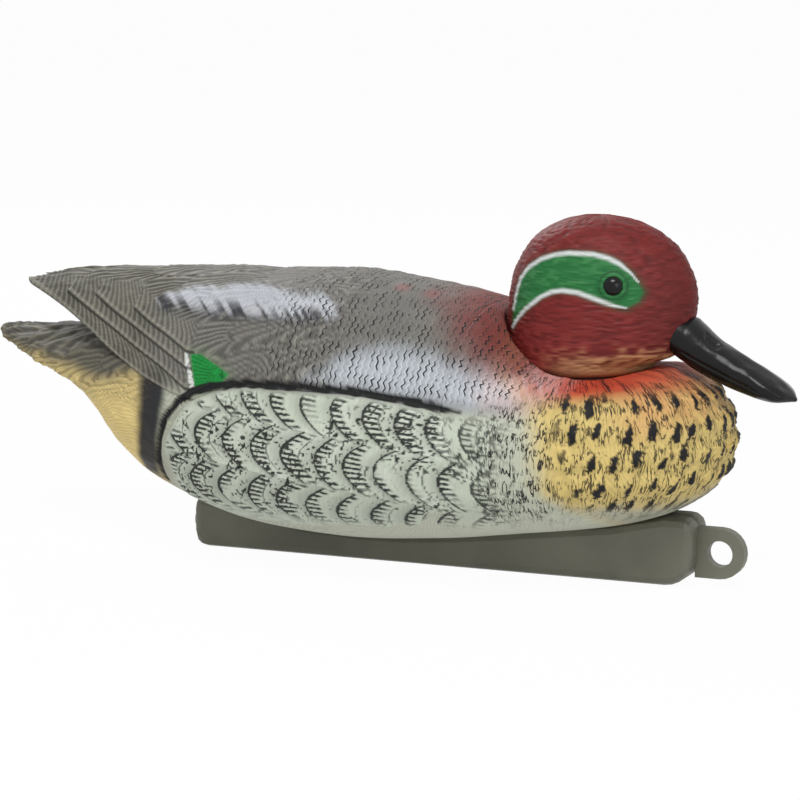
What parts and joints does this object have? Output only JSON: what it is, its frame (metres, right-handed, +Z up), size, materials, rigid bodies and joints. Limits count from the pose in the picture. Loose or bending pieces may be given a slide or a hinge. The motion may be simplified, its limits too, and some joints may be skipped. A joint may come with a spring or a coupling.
{
  "type": "floating duck decoy",
  "caption": "Hollow moulded drake teal decoy with a head that turns on a snap-fit neck, folded wings, and a weighted keel with a line eye for its anchor.",
  "frame": {"origin": "middle of the decoy's box in plan, on the level of the keel's flat foot", "axes": "+X to the bill, +Y to the duck's left, +Z up"},
  "size_m": [0.3195, 0.1274, 0.1325],
  "materials": {
    "painted_body": "matte paint on a moulded shell: grey back, cream breast with dark spots, pale flanks",
    "painted_head": "matte maroon-brown paint with a green eye patch",
    "gloss_black_bill": "gloss black paint",
    "black_eye": "polished black",
    "olive_keel": "plain olive-grey moulding",
    "ballast_sand": "packed sand",
    "black_rubber": "matte",
    "stainless_steel": "plain stainless"
  },
  "bodies": {
    "hull": {"body_shell": "painted_body", "neck_seal": "black_rubber", "keel_shell": "olive_keel", "keel_ballast": "ballast_sand", "keel_plug": "black_rubber", "keel_screw_rear": "stainless_steel", "keel_screw_middle": "stainless_steel", "keel_screw_front": "stainless_steel", "screw_washer_rear": "stainless_steel", "screw_washer_middle": "stainless_steel", "screw_washer_front": "stainless_steel"},
    "head": {"head_shell": "painted_head", "bill": "gloss_black_bill", "eye_left": "black_eye", "eye_right": "black_eye"}
  },
  "joints": [
    {"name": "head_swivel", "type": "hinge", "parent": "hull", "child": "head", "pos_m": [0.07882, 0, 0.07556], "axis": [0, 0, 1], "range_deg": [-45, 45]}
  ]
}
